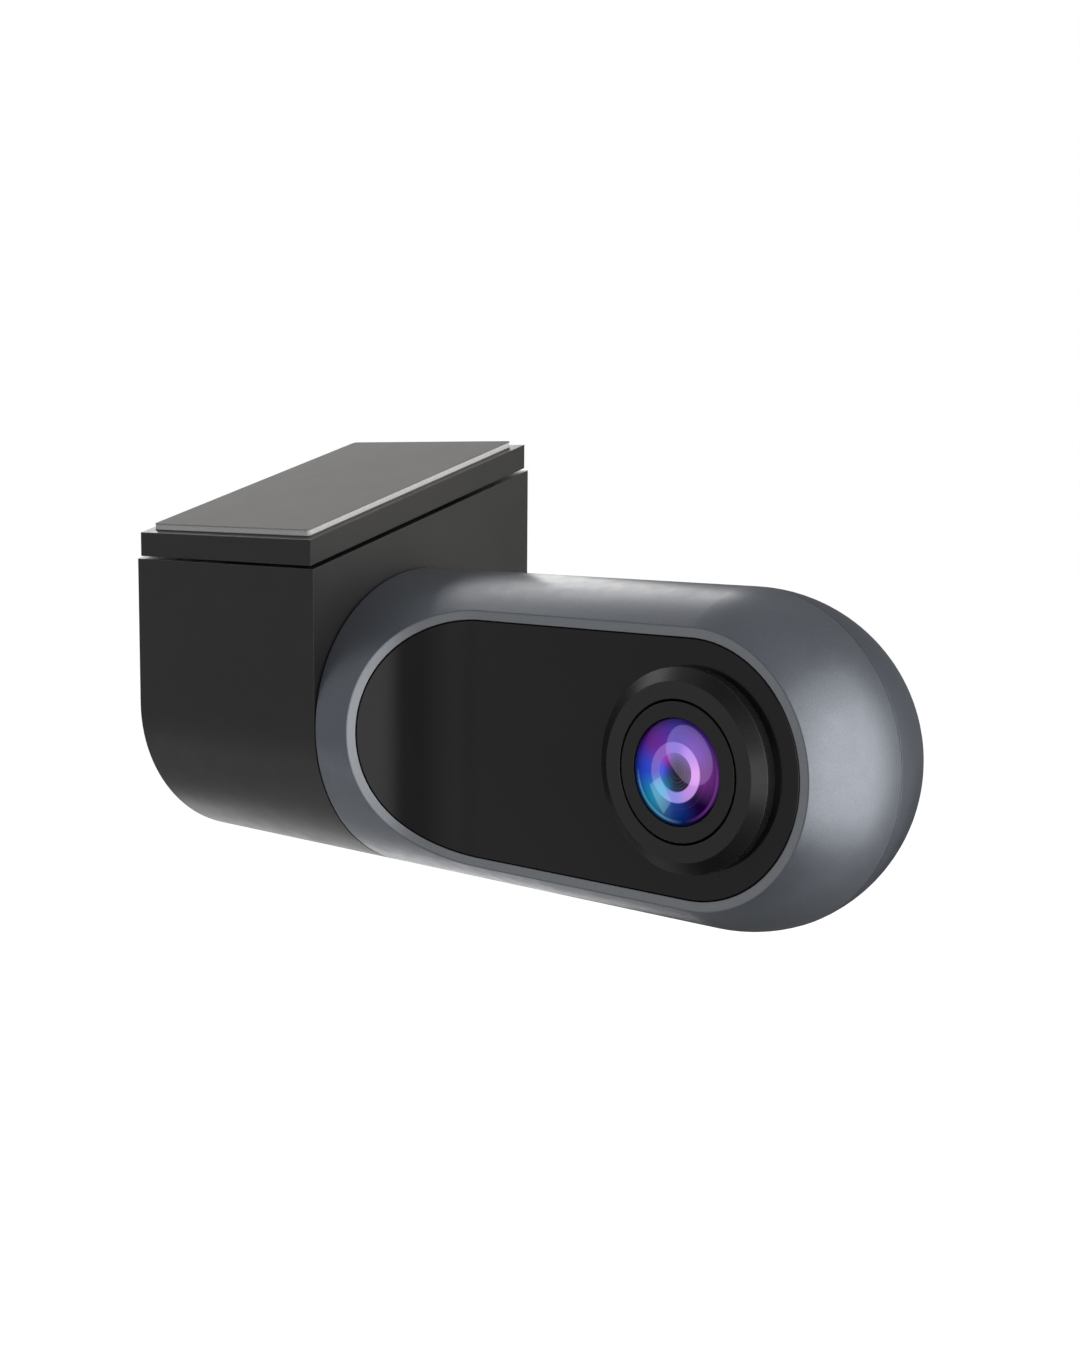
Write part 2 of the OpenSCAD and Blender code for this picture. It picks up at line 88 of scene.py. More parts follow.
class Graph:
    """The node tree of one new material, with a Principled shader at its end."""

    def __init__(self, name):
        self.material = bpy.data.materials.new(name)
        self.material.use_nodes = True
        self.tree = self.material.node_tree
        self.shader = self.tree.nodes["Principled BSDF"]
        self.place = self.add("ShaderNodeTexCoord").outputs["Object"]

    def add(self, kind, **settings):
        node = self.tree.nodes.new(kind)
        for key, value in settings.items():
            setattr(node, key, value)
        return node

    def link(self, source, target):
        if isinstance(source, (int, float, tuple)):
            target.default_value = source
        else:
            self.tree.links.new(source, target)

    def set(self, **values):
        for key, value in values.items():
            self.shader.inputs[key.replace("_", " ")].default_value = value

    def noise(self, size_mm, detail=3.0, rough=0.5, place=None):
        node = self.add("ShaderNodeTexNoise")
        node.inputs["Scale"].default_value = 1000.0 / size_mm
        node.inputs["Detail"].default_value = detail
        node.inputs["Roughness"].default_value = rough
        self.link(place or self.place, node.inputs["Vector"])
        return node.outputs["Fac"]

    def cells(self, size_mm):
        node = self.add("ShaderNodeTexVoronoi")
        node.inputs["Scale"].default_value = 1000.0 / size_mm
        self.link(self.place, node.inputs["Vector"])
        return node.outputs["Distance"]

    def stretched(self, x, y, z):
        node = self.add("ShaderNodeMapping")
        node.inputs["Scale"].default_value = (x, y, z)
        self.link(self.place, node.inputs["Vector"])
        return node.outputs["Vector"]

    def math(self, operation, a, b=0.0):
        node = self.add("ShaderNodeMath", operation=operation)
        self.link(a, node.inputs[0])
        self.link(b, node.inputs[1])
        return node.outputs[0]

    def span(self, value, low, high, to_low=0.0, to_high=1.0):
        node = self.add("ShaderNodeMapRange")
        self.link(value, node.inputs["Value"])
        ends = {"From Min": low, "From Max": high, "To Min": to_low, "To Max": to_high}
        for key, number in ends.items():
            node.inputs[key].default_value = number
        return node.outputs["Result"]

    def ramp(self, value, stops, mode="LINEAR"):
        node = self.add("ShaderNodeValToRGB")
        node.color_ramp.interpolation = mode
        points = node.color_ramp.elements
        while len(points) < len(stops):
            points.new(0.5)
        for point, (at, colour) in zip(points, stops):
            point.position = at
            point.color = (*colour, 1.0)
        self.link(value, node.inputs["Fac"])
        return node.outputs["Color"]

    def mix(self, factor, a, b, blend="MIX"):
        node = self.add("ShaderNodeMix", data_type="RGBA", blend_type=blend)
        self.link(factor, node.inputs["Factor"])
        for value, socket in ((a, node.inputs[6]), (b, node.inputs[7])):
            self.link((*value, 1.0) if isinstance(value, tuple) else value, socket)
        return node.outputs[2]

    def edges(self, radius_mm=0.25, strength=3.0):
        """How near a point is to an outer edge, from 0 to 1."""
        bevel = self.add("ShaderNodeBevel", samples=4)
        bevel.inputs["Radius"].default_value = radius_mm * MM
        normal = self.add("ShaderNodeNewGeometry").outputs["Normal"]
        dot = self.add("ShaderNodeVectorMath", operation="DOT_PRODUCT")
        self.link(bevel.outputs[0], dot.inputs[0])
        self.link(normal, dot.inputs[1])
        return self.span(dot.outputs["Value"], 1.0, 1.0 - 1.0 / strength)

    def bump(self, height, depth_mm, strength=1.0, round_mm=0.0):
        node = self.add("ShaderNodeBump")
        node.inputs["Strength"].default_value = strength
        node.inputs["Distance"].default_value = depth_mm * MM
        self.link(height, node.inputs["Height"])
        if round_mm:
            bevel = self.add("ShaderNodeBevel", samples=6)
            bevel.inputs["Radius"].default_value = round_mm * MM
            self.link(bevel.outputs[0], node.inputs["Normal"])
        self.link(node.outputs["Normal"], self.shader.inputs["Normal"])


# Materials

def from_pod_axis(g):
    """Distance from the pod's axis, or from the middle of its domed end beyond that."""
    shift = g.add("ShaderNodeVectorMath", operation="SUBTRACT")
    g.link(g.place, shift.inputs[0])
    shift.inputs[1].default_value = DOME
    parts = g.add("ShaderNodeSeparateXYZ")
    g.link(shift.outputs[0], parts.inputs[0])
    join = g.add("ShaderNodeCombineXYZ")
    g.link(g.math("MAXIMUM", parts.outputs["X"], 0.0), join.inputs["X"])
    g.link(parts.outputs["Y"], join.inputs["Y"])
    g.link(parts.outputs["Z"], join.inputs["Z"])
    length = g.add("ShaderNodeVectorMath", operation="LENGTH")
    g.link(join.outputs[0], length.inputs[0])
    return length.outputs["Value"]


def lacquer(name, colour, cut=None):
    """Satin blue-grey lacquer with a fine metallic flake; cut, when given, is a lighter copy of the lacquer
    painted on the wall round the panel as painted light.
    """
    g = Graph(name)
    flake = g.cells(0.11)
    cloud = g.noise(7.0, 2.0)
    light = tuple(c * 1.16 for c in colour)
    dark = tuple(c * 0.9 for c in colour)
    base = g.mix(g.span(flake, 0.1, 0.6), light, dark)
    base = g.mix(g.span(cloud, 0.35, 0.65, 0.0, 0.3), base, tuple(c * 1.05 for c in colour))
    rubbed = (0.42, 0.44, 0.47)
    base = g.mix(g.math("MULTIPLY", g.edges(0.18), 0.35), base, rubbed)
    # Painted light: the wall round the panel gets a lighter copy of the lacquer, for the light that wall
    # catches
    if cut:
        wall = g.span(from_pod_axis(g), POD_R - 0.05 * MM, POD_R - 0.14 * MM)
        bright_cut = tuple(c * 1.1 for c in cut)
        dark_cut = tuple(c * 0.92 for c in cut)
        base = g.mix(wall, base, g.mix(g.span(flake, 0.1, 0.6), bright_cut, dark_cut))
    g.link(base, g.shader.inputs["Base Color"])
    g.link(g.span(g.noise(1.6, 4.0), 0.3, 0.7, 0.30, 0.38), g.shader.inputs["Roughness"])
    g.set(Metallic=0.55, Coat_Weight=0.12, Coat_Roughness=0.25)
    g.bump(g.math("ADD", g.noise(0.9, 2.0), g.math("MULTIPLY", flake, 0.25)), 0.0035, 0.5, 0.12)
    return g.material


def moulded(name, colour, rough=0.42, grain_mm=0.16, depth_mm=0.006, wear=0.3, round_mm=0.12):
    """Injection-moulded plastic with a spark-eroded grain and slightly rubbed edges."""
    g = Graph(name)
    grain = g.noise(grain_mm, 2.0, 0.6)
    patch = g.noise(9.0, 3.0)
    dark = tuple(c * 0.9 for c in colour)
    light = tuple(c * 1.12 for c in colour)
    base = g.mix(g.span(patch, 0.35, 0.65), dark, light)
    worn = tuple(min(1.0, c * 1.8 + 0.03) for c in colour)
    g.link(g.mix(g.math("MULTIPLY", g.edges(0.2), wear), base, worn), g.shader.inputs["Base Color"])
    spread = g.math("ADD", g.math("MULTIPLY", g.noise(2.4, 4.0), 0.12), g.math("MULTIPLY", grain, 0.06))
    g.link(g.math("ADD", spread, rough - 0.09), g.shader.inputs["Roughness"])
    g.bump(grain, depth_mm, 0.6, round_mm)
    return g.material


def polished_black(name):
    """Piano black window with a hard coat, a few hairlines and faint wiping marks."""
    g = Graph(name)
    wipe = g.noise(5.0, 5.0, 0.65, g.stretched(1.0, 1.0, 0.35))
    hair = g.noise(0.9, 1.0, 0.4, g.stretched(0.08, 1.0, 1.0))
    base = g.mix(g.span(g.noise(16.0, 2.0), 0.3, 0.7), (0.0075, 0.0075, 0.0078), (0.0105, 0.0105, 0.011))
    g.link(base, g.shader.inputs["Base Color"])
    haze = g.span(wipe, 0.35, 0.75, 0.12, 0.19)
    scratches = g.span(hair, 0.68, 0.8, 0.0, 0.05)
    g.link(g.math("ADD", haze, scratches), g.shader.inputs["Roughness"])
    g.set(Specular_IOR_Level=0.39)
    g.bump(wipe, 0.0008, 0.3, 0.05)
    return g.material


def turned(name, colour, metallic=0.0, rough=0.32, pitch_mm=0.12, depth_mm=0.004):
    """Finish of a part turned about the lens axis, with fine rings from the tool."""
    g = Graph(name)
    shift = g.add("ShaderNodeVectorMath", operation="SUBTRACT")
    g.link(g.place, shift.inputs[0])
    shift.inputs[1].default_value = (LENS_X, 0.0, LENS_Z)
    flat = g.add("ShaderNodeVectorMath", operation="MULTIPLY")
    g.link(shift.outputs[0], flat.inputs[0])
    flat.inputs[1].default_value = (1.0, 0.0, 1.0)
    radius = g.add("ShaderNodeVectorMath", operation="LENGTH")
    g.link(flat.outputs[0], radius.inputs[0])
    wave = g.math("SINE", g.math("MULTIPLY", radius.outputs["Value"], 2 * math.pi / (pitch_mm * MM)))
    grain = g.noise(0.14, 2.0)
    dark = tuple(c * 0.85 for c in colour)
    light = tuple(c * 1.2 for c in colour)
    base = g.mix(g.span(g.noise(3.0, 3.0), 0.3, 0.7), dark, light)
    worn = tuple(min(1.0, c * 2.0 + 0.05) for c in colour)
    g.link(g.mix(g.math("MULTIPLY", g.edges(0.12), 0.4), base, worn), g.shader.inputs["Base Color"])
    g.link(g.span(grain, 0.3, 0.7, rough - 0.05, rough + 0.07), g.shader.inputs["Roughness"])
    g.set(Metallic=metallic)
    g.bump(g.math("ADD", g.math("MULTIPLY", wave, 0.35), grain), depth_mm, 0.5, 0.1)
    return g.material


def foam(name):
    """Closed-cell foam tape: open pores over a matt grey skin, with its cut sides painted pale as painted
    light.
    """
    g = Graph(name)
    pores = g.cells(0.34)
    fine = g.cells(0.15)
    height = g.math("ADD", g.span(pores, 0.0, 0.35), g.math("MULTIPLY", g.span(fine, 0.0, 0.4), 0.5))
    skin = g.ramp(height, [(0.0, (0.09, 0.09, 0.091)), (0.5, (0.165, 0.165, 0.167)),
                           (1.0, (0.19, 0.19, 0.192))])
    skin = g.mix(g.span(g.noise(6.0, 3.0), 0.3, 0.7, 0.0, 0.35), skin, (0.148, 0.148, 0.15))
    # Painted light: every cut side is painted pale, for the light that the right-hand side catches
    facing = g.add("ShaderNodeVectorMath", operation="DOT_PRODUCT")
    g.link(g.add("ShaderNodeTexCoord").outputs["Normal"], facing.inputs[0])
    facing.inputs[1].default_value = PAD_UP
    cut = g.span(g.math("ABSOLUTE", facing.outputs["Value"]), 0.8, 0.4)
    pale_sides_painted_light = g.mix(g.span(g.cells(0.2), 0.05, 0.5), (0.76, 0.76, 0.77), (0.60, 0.60, 0.61))
    g.link(g.mix(cut, skin, pale_sides_painted_light), g.shader.inputs["Base Color"])
    g.link(g.span(fine, 0.0, 0.5, 0.95, 0.82), g.shader.inputs["Roughness"])
    g.set(Sheen_Weight=0.15, Sheen_Roughness=0.6)
    g.bump(height, 0.02, 0.6, 0.1)
    return g.material


def metal(name, colour, rough=0.25, brush=(1.0, 1.0, 1.0), grain_mm=0.08):
    """Bare or plated metal with a drawn or brushed grain."""
    g = Graph(name)
    lines = g.noise(grain_mm, 3.0, 0.6, g.stretched(*brush))
    dark = tuple(c * 0.86 for c in colour)
    light = tuple(min(1.0, c * 1.08) for c in colour)
    base = g.mix(g.span(lines, 0.3, 0.7), dark, light)
    g.link(base, g.shader.inputs["Base Color"])
    g.link(g.span(g.noise(0.8, 4.0), 0.3, 0.7, rough - 0.07, rough + 0.1), g.shader.inputs["Roughness"])
    g.set(Metallic=1.0)
    g.bump(lines, 0.002, 0.5, 0.05)
    return g.material


def circuit_board(name):
    """Green solder mask over copper tracks, with plated pads."""
    g = Graph(name)
    track = g.add("ShaderNodeTexBrick", offset=0.37, squash=0.6, squash_frequency=3)
    turned_place = g.add("ShaderNodeMapping")
    turned_place.inputs["Rotation"].default_value = (math.pi / 2, 0.0, 0.0)
    g.link(g.place, turned_place.inputs["Vector"])
    g.link(turned_place.outputs[0], track.inputs["Vector"])
    pattern = {"Scale": 420.0, "Mortar Size": 0.05, "Brick Width": 1.4, "Row Height": 0.42}
    for key, value in pattern.items():
        track.inputs[key].default_value = value
    lines = track.outputs["Fac"]
    weave = g.noise(0.3, 2.0)
    base = g.mix(lines, (0.006, 0.062, 0.030), (0.015, 0.13, 0.06))
    pads = g.span(g.cells(2.6), 0.16, 0.13)
    base = g.mix(pads, base, (0.78, 0.58, 0.26))
    g.link(base, g.shader.inputs["Base Color"])
    g.link(pads, g.shader.inputs["Metallic"])
    g.link(g.span(weave, 0.3, 0.7, 0.28, 0.42), g.shader.inputs["Roughness"])
    g.bump(g.math("ADD", lines, g.math("MULTIPLY", weave, 0.3)), 0.02, 0.6, 0.05)
    return g.material


def resin_chip(name):
    """Black moulded chip body, with a fine matt top."""
    g = Graph(name)
    grain = g.noise(0.12, 3.0, 0.7)
    base = g.mix(g.span(grain, 0.3, 0.7), (0.014, 0.014, 0.015), (0.03, 0.03, 0.032))
    g.link(base, g.shader.inputs["Base Color"])
    g.link(g.span(g.noise(1.5, 3.0), 0.3, 0.7, 0.5, 0.68), g.shader.inputs["Roughness"])
    g.bump(grain, 0.008, 0.6, 0.06)
    return g.material


def coated_glass(name, mirrored, clear=0.94):
    """Coated optical glass: what is behind it shows through, and its coating colours what it mirrors."""
    g = Graph(name)
    base = g.mix(g.noise(4.0, 2.0), (0.006, 0.003, 0.012), (0.009, 0.005, 0.018))
    g.link(base, g.shader.inputs["Base Color"])
    g.link(g.span(g.noise(2.2, 3.0), 0.4, 0.8, 0.045, 0.075), g.shader.inputs["Roughness"])
    g.set(Specular_IOR_Level=1.0, Specular_Tint=(*mirrored, 1.0))
    rim = g.add("ShaderNodeLayerWeight")
    rim.inputs["Blend"].default_value = 0.2
    g.link(g.span(rim.outputs["Facing"], 0.2, 1.0, 1.0 - clear, 0.7), g.shader.inputs["Alpha"])
    return g.material


def polar(g):
    """Turn round the lens axis, 0 to 1 from +X towards +Z, and radius as a share of the glass."""
    shift = g.add("ShaderNodeVectorMath", operation="SUBTRACT")
    g.link(g.place, shift.inputs[0])
    shift.inputs[1].default_value = (LENS_X, 0.0, LENS_Z)
    parts = g.add("ShaderNodeSeparateXYZ")
    g.link(shift.outputs[0], parts.inputs[0])
    angle = g.math("ARCTAN2", parts.outputs["Z"], parts.outputs["X"])
    turn = g.math("FRACT", g.math("ADD", g.math("DIVIDE", angle, 2 * math.pi), 1.0))
    x2 = g.math("POWER", parts.outputs["X"], 2.0)
    z2 = g.math("POWER", parts.outputs["Z"], 2.0)
    return turn, g.math("DIVIDE", g.math("SQRT", g.math("ADD", x2, z2)), GLASS_R)


def wheel(g, turn, colours):
    """Colours at even steps round the lens axis, from +X towards +Z, back to the first."""
    steps = len(colours)
    stops = [(i / steps, colour) for i, colour in enumerate(colours)] + [(1.0, colours[0])]
    return g.ramp(turn, stops, "EASE")


def band(g, radius, inner, outer, soft=0.012):
    """1 between two radii and 0 elsewhere."""
    rise = g.span(radius, inner - soft, inner + soft)
    return g.math("MULTIPLY", rise, g.span(radius, outer + soft, outer - soft))


def grey(level):
    return (level, level, level)


def optics(name):
    """Painted glow inside the lens: violet, magenta, blue and cyan colours emitted as light, a painted
    reflection of the lens coatings, darker in the middle and at the edge.

    They mirror as the bent front of the glass does, so their normal leans outward with it."""
    g = Graph(name)
    turn, radius = polar(g)
    ring_in, ring_out = 0.36, 0.56

    # Colours at every eighth of a turn: outside the bright ring, on it and inside it
    outer = wheel(g, turn, [(0.15, 0.014, 0.22), (0.15, 0.04, 0.42), (0.05, 0.02, 0.36),
                            (0.12, 0.004, 0.27), (0.02, 0.055, 0.56), (0.004, 0.26, 0.44),
                            (0.002, 0.030, 0.22), (0.012, 0.001, 0.04)])
    bright = wheel(g, turn, [(0.78, 0.34, 0.92), (0.50, 0.24, 0.86), (0.20, 0.11, 0.68),
                             (0.24, 0.06, 0.52), (0.13, 0.10, 0.66), (0.06, 0.40, 0.74),
                             (0.26, 0.26, 0.84), (0.56, 0.27, 0.84)])
    inner = wheel(g, turn, [(0.08, 0.02, 0.10), (0.13, 0.05, 0.28), (0.10, 0.07, 0.34),
                            (0.34, 0.03, 0.54), (0.07, 0.11, 0.95), (0.005, 0.17, 0.36),
                            (0.002, 0.03, 0.06), (0.014, 0.006, 0.03)])

    # Fading towards the edge and towards the middle
    edge = g.ramp(radius, [(0.0, grey(0.9)), (0.62, grey(1.0)), (0.82, grey(0.75)),
                           (0.94, (0.28, 0.28, 0.32)), (1.0, (0.05, 0.05, 0.09))])
    centre = g.ramp(radius, [(0.0, grey(0.02)), (0.1, (0.05, 0.05, 0.06)), (0.2, (0.28, 0.28, 0.3)),
                             (0.34, grey(0.9)), (1.0, grey(1.0))])
    colour = g.mix(1.0, outer, edge, "MULTIPLY")
    colour = g.mix(g.span(radius, ring_in + 0.01, ring_in - 0.02), colour,
                   g.mix(1.0, inner, centre, "MULTIPLY"))
    painted_ring_glow = g.mix(0.05, g.mix(1.0, bright, grey(0.88), "MULTIPLY"), (0.9, 0.85, 1.0))
    colour = g.mix(band(g, radius, ring_in, ring_out), colour, painted_ring_glow)

    # Fine circles, and a coloured arc at each side of the lower edge, painted into the glow as reflections
    for at, weight in ((0.12, 0.08), (0.19, 0.13), (0.25, 0.08), (0.30, 0.08), (0.68, 0.04)):
        circle = g.math("MULTIPLY", band(g, radius, at - 0.006, at + 0.006, 0.006), weight)
        colour = g.mix(circle, colour, bright)
    low_left = g.ramp(turn, [(0.50, grey(0)), (0.56, grey(1)), (0.68, grey(1)), (0.78, grey(0))])
    low_right = g.ramp(turn, [(0.0, grey(1)), (0.06, grey(0)), (0.78, grey(0)), (0.88, grey(1)),
                              (1.0, grey(1))])
    rim = band(g, radius, 0.895, 0.935, 0.02)
    for side, weight, tint in ((low_left, 0.7, (0.12, 0.36, 0.60)), (low_right, 0.5, (0.26, 0.05, 0.42))):
        colour = g.mix(g.math("MULTIPLY", rim, g.math("MULTIPLY", side, weight)), colour, tint)

    g.link(g.mix(1.0, colour, grey(0.03), "MULTIPLY"), g.shader.inputs["Base Color"])
    # Painted glow: the colours are emitted, so the inner lens shines without a lamp
    g.link(colour, g.shader.inputs["Emission Color"])
    g.set(Emission_Strength=1.0, Specular_IOR_Level=0.5, Specular_Tint=(0.86, 0.80, 1.0, 1.0))
    g.link(g.span(g.noise(0.8, 2.0), 0.3, 0.7, 0.035, 0.06), g.shader.inputs["Roughness"])

    # Normal of the bent front glass, from the middle of its bend
    outward = g.add("ShaderNodeVectorMath", operation="SUBTRACT")
    g.link(g.place, outward.inputs[0])
    outward.inputs[1].default_value = (LENS_X, GLASS_LOW.y + GLASS_BEND, LENS_Z)
    unit = g.add("ShaderNodeVectorMath", operation="NORMALIZE")
    g.link(outward.outputs[0], unit.inputs[0])
    facing = g.add("ShaderNodeVectorTransform", vector_type="NORMAL",
                   convert_from="OBJECT", convert_to="WORLD")
    g.link(unit.outputs[0], facing.inputs[0])
    g.link(facing.outputs[0], g.shader.inputs["Normal"])
    return g.material


def insulation(name, colour):
    """Soft extruded insulation."""
    g = Graph(name)
    wave = g.noise(0.5, 2.0, 0.5, g.stretched(0.2, 1.0, 1.0))
    base = g.mix(g.span(wave, 0.3, 0.7), tuple(c * 0.8 for c in colour), tuple(c * 1.15 for c in colour))
    g.link(base, g.shader.inputs["Base Color"])
    g.link(g.span(wave, 0.3, 0.7, 0.42, 0.56), g.shader.inputs["Roughness"])
    g.bump(wave, 0.01, 0.5)
    return g.material


def frosted(name, colour):
    """Frosted light pipe."""
    g = Graph(name)
    haze = g.noise(0.25, 3.0)
    g.link(g.mix(haze, tuple(c * 0.8 for c in colour), colour), g.shader.inputs["Base Color"])
    g.link(g.span(haze, 0.3, 0.7, 0.35, 0.5), g.shader.inputs["Roughness"])
    g.set(Transmission_Weight=0.35, Subsurface_Weight=0.1, Emission_Strength=0.25)
    g.shader.inputs["Emission Color"].default_value = (*colour, 1.0)
    g.bump(haze, 0.004, 0.4)
    return g.material


def dress(material, *names):
    """Puts one material on the whole of each named node."""
    for name in names:
        mesh = NODES[name].data
        mesh.materials.clear()
        mesh.materials.append(material)


def soften(name, width_mm, segments=3, angle=30):
    """Rounds the sharp edges of a node a little; the node's own mesh stays as it is."""
    piece = NODES[name]
    bevel = piece.modifiers.new("soft_edges", "BEVEL")
    bevel.width = width_mm * MM
    bevel.segments = segments
    bevel.limit_method = "ANGLE"
    bevel.angle_limit = math.radians(angle)
    bevel.harden_normals = True


# Dressing the nodes

# The front shell's wall round the panel is painted lighter, as painted light
dress(lacquer("front_lacquer", (0.176, 0.196, 0.231), cut=(0.315, 0.333, 0.362)), "front_shell")
# Painted shade: the rear shell gets a darker copy of the front lacquer, for the tonal step at the crease
dress(lacquer("rear_lacquer_painted_shade", (0.138, 0.156, 0.189)), "rear_shell")
dress(moulded("block_plastic", (0.014, 0.014, 0.0145), 0.38), "bracket_block")
dress(moulded("plate_plastic", (0.016, 0.016, 0.0165), 0.38), "mount_plate")
dress(moulded("cap_plastic", (0.024, 0.024, 0.025), 0.5, 0.25, 0.012), "end_cap")
dress(polished_black("panel_window"), "front_panel")
dress(moulded("bezel_finish", (0.013, 0.013, 0.0135), 0.28, 0.4, 0.0005), "lens_bezel")
dress(turned("ring_finish", (0.009, 0.009, 0.0095), 0.0, 0.38, 0.12, 0.0006), "lens_ring")
dress(turned("barrel_finish", (0.02, 0.02, 0.021), 0.6, 0.35), "lens_barrel")
dress(turned("baffle_finish", (0.006, 0.006, 0.006), 0.0, 0.7), "iris_ring", "lens_spacer")
dress(coated_glass("front_glass_coat", (0.86, 0.78, 1.0)), "front_glass")
dress(coated_glass("second_glass_coat", (0.5, 0.4, 1.0)), "second_glass")
dress(coated_glass("rear_glass_coat", (0.3, 1.0, 0.8)), "rear_glass")
dress(coated_glass("filter_coat", (1.0, 0.5, 0.7)), "ir_filter")
dress(moulded("holder_plastic", (0.018, 0.018, 0.018), 0.55), "lens_holder", "inlet_tongue")
dress(moulded("inner_plastic", (0.04, 0.04, 0.042), 0.55), "end_plate")
dress(moulded("bearing_plastic", (0.70, 0.68, 0.62), 0.35), "hinge_bush", "friction_washer", "board_link")
dress(moulded("key_plastic", (0.085, 0.09, 0.10), 0.36, 0.12, 0.004), "record_button", "mode_button")
dress(moulded("card_plastic", (0.016, 0.016, 0.017), 0.48), "memory_card")
dress(moulded("speaker_frame", (0.016, 0.016, 0.017), 0.6), "speaker")
dress(metal("plated_steel", (0.60, 0.60, 0.61)), "cap_screws", "hinge_screws", "board_screws",
      "shell_screws")
dress(metal("spring_steel", (0.48, 0.48, 0.49), 0.22), "spring_washer", "hinge_clip")
dress(metal("turned_steel", (0.56, 0.56, 0.57), 0.28, (6.0, 1.0, 1.0)), "hinge_shaft")
dress(metal("drawn_steel", (0.62, 0.62, 0.63), 0.24, (0.1, 1.0, 1.0)), "power_inlet", "card_socket")
dress(metal("brushed_aluminium", (0.74, 0.75, 0.76), 0.3, (0.06, 1.0, 1.0)), "heat_plate")
dress(metal("gold_plate", (0.86, 0.62, 0.26), 0.2), "inlet_contacts", "microphone")
dress(metal("copper_film", (0.66, 0.40, 0.20), 0.35), "antenna")
dress(circuit_board("solder_mask"), "main_board", "sensor_board", "power_board")
dress(resin_chip("chip_resin"), "processor", "memory_chips", "power_parts", "reset_switch",
      "button_switches", "image_sensor")
dress(moulded("capacitor_sleeve", (0.02, 0.03, 0.10), 0.25, 0.3, 0.003), "capacitors")
dress(insulation("lead_insulation", (0.30, 0.03, 0.03)), "power_lead")
dress(frosted("light_pipe", (0.45, 0.70, 1.0)), "status_light")

for node, width in {"bracket_block": 0.18, "mount_plate": 0.3, "end_cap": 0.15,
                    "record_button": 0.15, "mode_button": 0.15}.items():
    soften(node, width)


# Building pieces

def new_piece(name, work, material):
    """Turns a finished bmesh into a piece with one material."""
    bmesh.ops.recalc_face_normals(work, faces=work.faces)
    mesh = bpy.data.meshes.new(name)
    work.to_mesh(mesh)
    work.free()
    mesh.materials.append(material)
    piece = bpy.data.objects.new(name, mesh)
    bpy.context.scene.collection.objects.link(piece)
    return piece


def join_rings(work, rings):
    """Faces between neighbouring rings of equally many points."""
    for near, far in zip(rings, rings[1:]):
        for i in range(len(near)):
            k = (i + 1) % len(near)
            work.faces.new((near[i], near[k], far[k], far[i]))


# Foam tape under the windscreen

def foam_tape(corner=0.5, step=15):
    """Foam tape with a thin layer of glue on each face and a slightly hollow cut edge."""
    work = bmesh.new()
    # How far the edge stands in, in millimetres, and how high, as a share of the thickness
    profile = [(0.08, 0.0), (0.0, 0.05), (0.03, 0.09), (0.06, 0.13), (0.08, 0.5), (0.06, 0.87),
               (0.03, 0.91), (0.0, 0.95), (0.08, 1.0)]
    corners = [(1, 1, 0), (-1, 1, 90), (-1, -1, 180), (1, -1, 270)]
    turns = [(sx, sy, math.radians(first + degrees))
             for sx, sy, first in corners for degrees in range(0, 91, step)]
    rings = []
    for inset, up in profile:
        radius = (corner - inset) * MM
        ring = []
        for sx, sy, a in turns:
            x = sx * (PAD_HIGH.x - corner * MM) + radius * math.cos(a)
            y = sy * (PAD_HIGH.y - corner * MM) + radius * math.sin(a)
            ring.append(work.verts.new((x, y, y * PAD_RISE + (up - 1.0) * PAD_THICK)))
        rings.append(ring)
    join_rings(work, rings)
    for ring in (rings[0], rings[-1]):
        work.faces.new(ring)
    piece = new_piece("foam_tape", work, foam("pad_foam"))
    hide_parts("adhesive_pad")
    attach(piece, "base")


foam_tape()


# Tongue that closes the seam of the two pod shells

def seam_tongue(below=0.16, deep=0.4, thick=0.11, steps=48):
    """Thin tongue in the seam: along the pod's bottom, round the domed end and back along its top."""
    work = bmesh.new()
    start = POD_START + 0.05 * MM
    bend = [(DOME[0], -90.0 + 180.0 * i / steps) for i in range(steps + 1)]
    high, low = POD_R - below * MM, POD_R - (below + deep) * MM
    rings = []
    for x, degrees in [(start, -90.0)] + bend + [(start, 90.0)]:
        a = math.radians(degrees)
        ring = []
        for radius, side in ((high, -1), (high, 1), (low, 1), (low, -1)):
            ring.append(work.verts.new((x + radius * math.cos(a), POD_AXIS.y + side * thick * MM / 2,
                                        POD_AXIS.z + radius * math.sin(a))))
        rings.append(ring)
    join_rings(work, rings)
    for ring in (rings[0], rings[-1]):
        work.faces.new(ring)
    # The tongue takes the rear shell's lacquer, painted shade included
    piece = new_piece("seam_tongue", work, NODES["rear_shell"].data.materials[0])
    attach(piece, "pod")


seam_tongue()


# Inner lens with a painted glow, seen through the front glass

